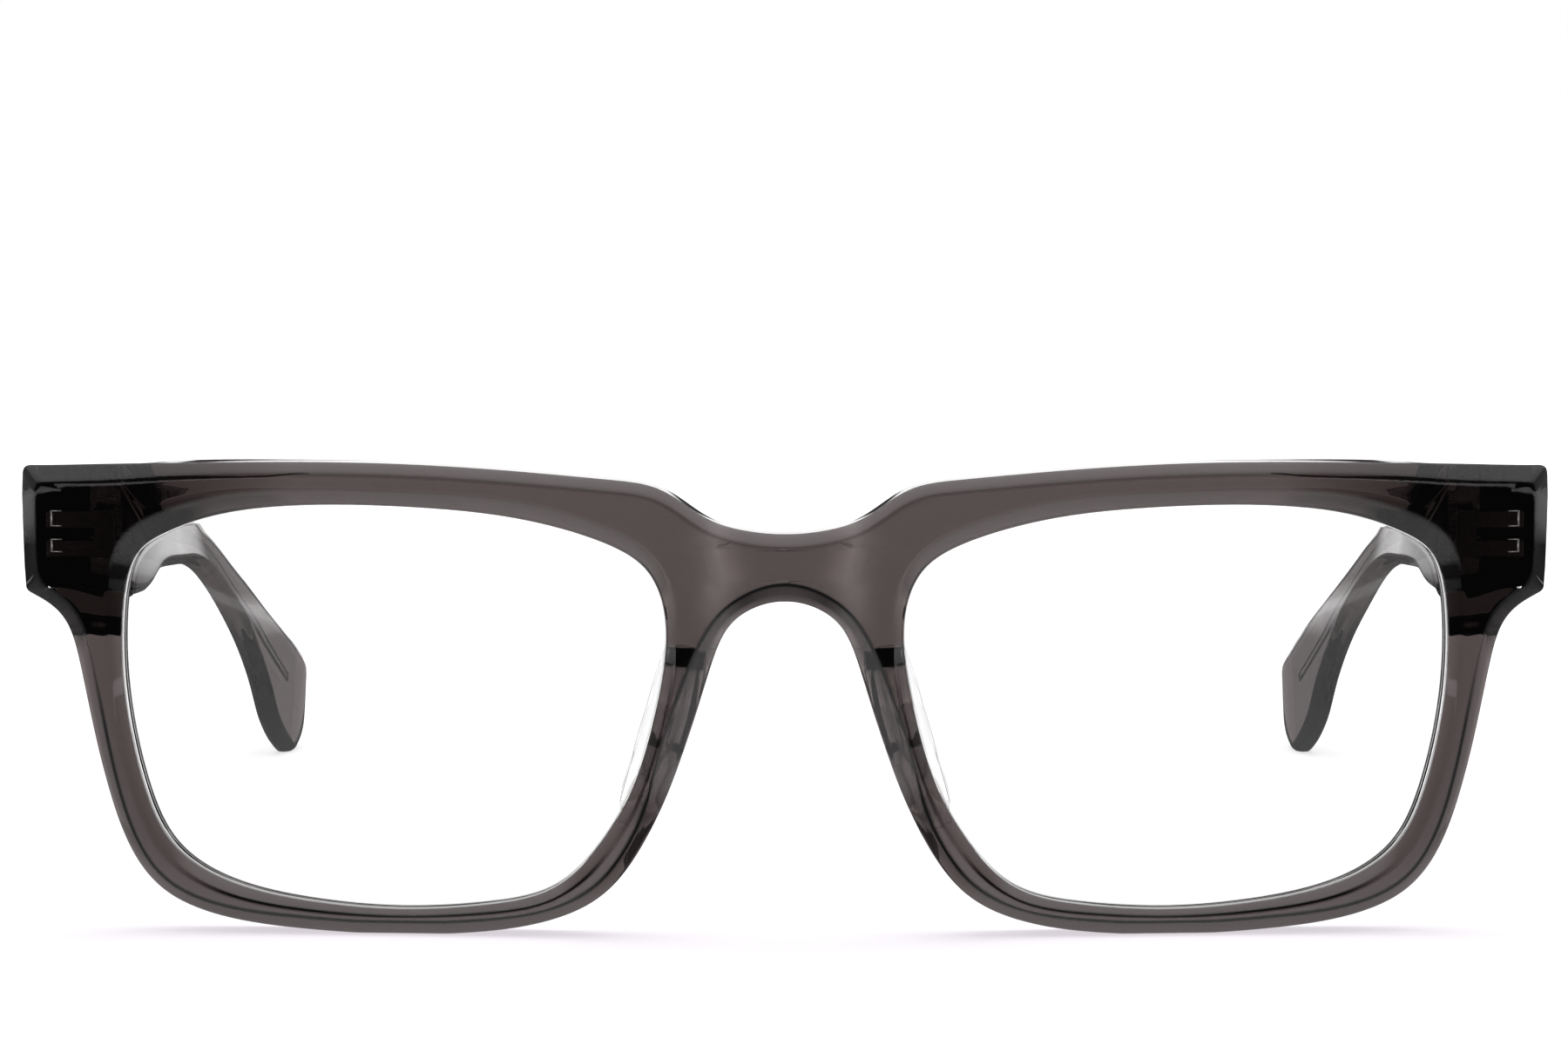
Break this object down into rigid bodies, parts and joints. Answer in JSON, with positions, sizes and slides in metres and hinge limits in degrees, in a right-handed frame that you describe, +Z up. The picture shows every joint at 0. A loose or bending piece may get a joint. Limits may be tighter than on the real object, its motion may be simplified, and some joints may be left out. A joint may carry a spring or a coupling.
{
  "type": "rectangular eyeglasses",
  "caption": "Rectangular eyeglasses in clear smoke-grey plastic, with bevelled rims, clear nose pads, sunk metal hinges and folding temples with core wires.",
  "frame": {"origin": "on the ground under the middle of the bridge's line, halfway between the front face and the temple tips", "axes": "+X to the wearer's left, +Y from the front towards the temple tips, +Z up; the object stands on both rims and both temple tips with its temples open"},
  "size_m": [0.1446, 0.1422, 0.0447],
  "materials": {
    "smoke_plastic": "polished, see-through smoke grey",
    "lens_plastic": "polished, clear",
    "pad_plastic": "polished, clear",
    "hinge_steel": "satin",
    "wire_steel": "satin"
  },
  "bodies": {
    "front_frame": {"front": "smoke_plastic", "lens_right": "lens_plastic", "lens_left": "lens_plastic", "nose_pad_right": "pad_plastic", "nose_pad_left": "pad_plastic", "front_hinge_right": "hinge_steel", "front_hinge_left": "hinge_steel", "hinge_screw_right": "hinge_steel", "hinge_screw_left": "hinge_steel"},
    "right_temple": {"temple_right": "smoke_plastic", "core_wire_right": "wire_steel", "temple_hinge_right": "hinge_steel"},
    "left_temple": {"temple_left": "smoke_plastic", "core_wire_left": "wire_steel", "temple_hinge_left": "hinge_steel"}
  },
  "joints": [
    {"name": "right_fold", "type": "hinge", "parent": "front_frame", "child": "right_temple", "pos_m": [-0.06431, -0.05742, 0.0375], "axis": [0, 0, -1], "range_deg": [0, 78]},
    {"name": "left_fold", "type": "hinge", "parent": "front_frame", "child": "left_temple", "pos_m": [0.06431, -0.05742, 0.0375], "axis": [0, 0, 1], "range_deg": [0, 88]}
  ]
}
